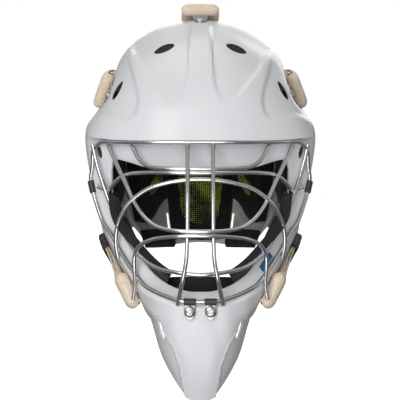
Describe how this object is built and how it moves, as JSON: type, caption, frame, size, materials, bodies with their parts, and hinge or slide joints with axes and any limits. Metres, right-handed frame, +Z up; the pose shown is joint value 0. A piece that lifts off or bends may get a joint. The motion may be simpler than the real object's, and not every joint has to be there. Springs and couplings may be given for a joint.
{
  "type": "goalie mask",
  "caption": "Ice hockey goalie mask: white shell with a brow visor and drop chin, welded wire cage, foam pads, and an elastic-strapped backplate that swings open.",
  "frame": {"origin": "middle of the head cavity, level with the eyes, where the wearer's head holds the mask", "axes": "+Z up, -Y the way the face looks, +X to the wearer's left"},
  "size_m": [0.2196, 0.2812, 0.3752],
  "materials": {
    "shell_white": "satin white lacquer over composite",
    "backplate_white": "satin white moulded plastic",
    "black_foam": "matt closed-cell foam with a brushed skin",
    "printed_mesh": "knitted mesh with a printed green fade",
    "elastic_webbing": "woven elastic with a fuzzy face",
    "cage_steel": "polished round steel wire",
    "hardware_steel": "plated steel",
    "black_plastic": "moulded black plastic",
    "blue_sticker": "plain blue vinyl"
  },
  "bodies": {
    "shell": {"cage_bar_left": "cage_steel", "cage_bar_right": "cage_steel", "cage_brow_wire": "cage_steel", "cage_clip_nuts": "hardware_steel", "cage_clip_screws": "hardware_steel", "cage_cross_wire": "cage_steel", "cage_eye_arch_wire": "cage_steel", "cage_lower_eye_wire": "cage_steel", "cage_mouth_wire": "cage_steel", "cage_rim_wire": "cage_steel", "cage_side_tie_left": "cage_steel", "cage_side_tie_right": "cage_steel", "cage_u_wire": "cage_steel", "cheek_pad_left": "black_foam", "cheek_pad_right": "black_foam", "chin_clip_left": "hardware_steel", "chin_clip_right": "hardware_steel", "chin_pad": "black_foam", "crown_pad": "black_foam", "crown_strap": "elastic_webbing", "crown_strap_clip": "hardware_steel", "forehead_pad": "black_foam", "jaw_pad_left": "black_foam", "jaw_pad_right": "black_foam", "jaw_strap_clip_left": "hardware_steel", "jaw_strap_clip_right": "hardware_steel", "jaw_strap_left": "elastic_webbing", "jaw_strap_right": "elastic_webbing", "jaw_strap_slider_left": "black_plastic", "jaw_strap_slider_right": "black_plastic", "shell": "shell_white", "side_sticker": "blue_sticker", "strap_clip_nuts": "hardware_steel", "strap_clip_screws": "hardware_steel", "sweatband": "black_foam", "temple_clip_left": "hardware_steel", "temple_clip_right": "hardware_steel", "temple_pad_left": "black_foam", "temple_pad_right": "black_foam", "temple_strap_clip_left": "hardware_steel", "temple_strap_clip_right": "hardware_steel", "temple_strap_left": "elastic_webbing", "temple_strap_right": "elastic_webbing"},
    "backplate": {"backplate_lower_pad_left": "black_foam", "backplate_lower_pad_right": "black_foam", "backplate_shell": "backplate_white", "backplate_spine_liner": "printed_mesh", "backplate_spine_pad": "black_foam", "backplate_upper_pad_left": "black_foam", "backplate_upper_pad_right": "black_foam", "strap_rivets": "hardware_steel"}
  },
  "joints": [
    {"name": "backplate_swing", "type": "hinge", "parent": "shell", "child": "backplate", "pos_m": [0, 0.066, 0.161], "axis": [1, 0, 0], "range_deg": [0, 35], "stiffness_Nm_per_rad": 1.5, "springref_deg": -14.32, "deforming": ["crown_strap", "jaw_strap_left", "jaw_strap_right", "temple_strap_left", "temple_strap_right"]}
  ]
}
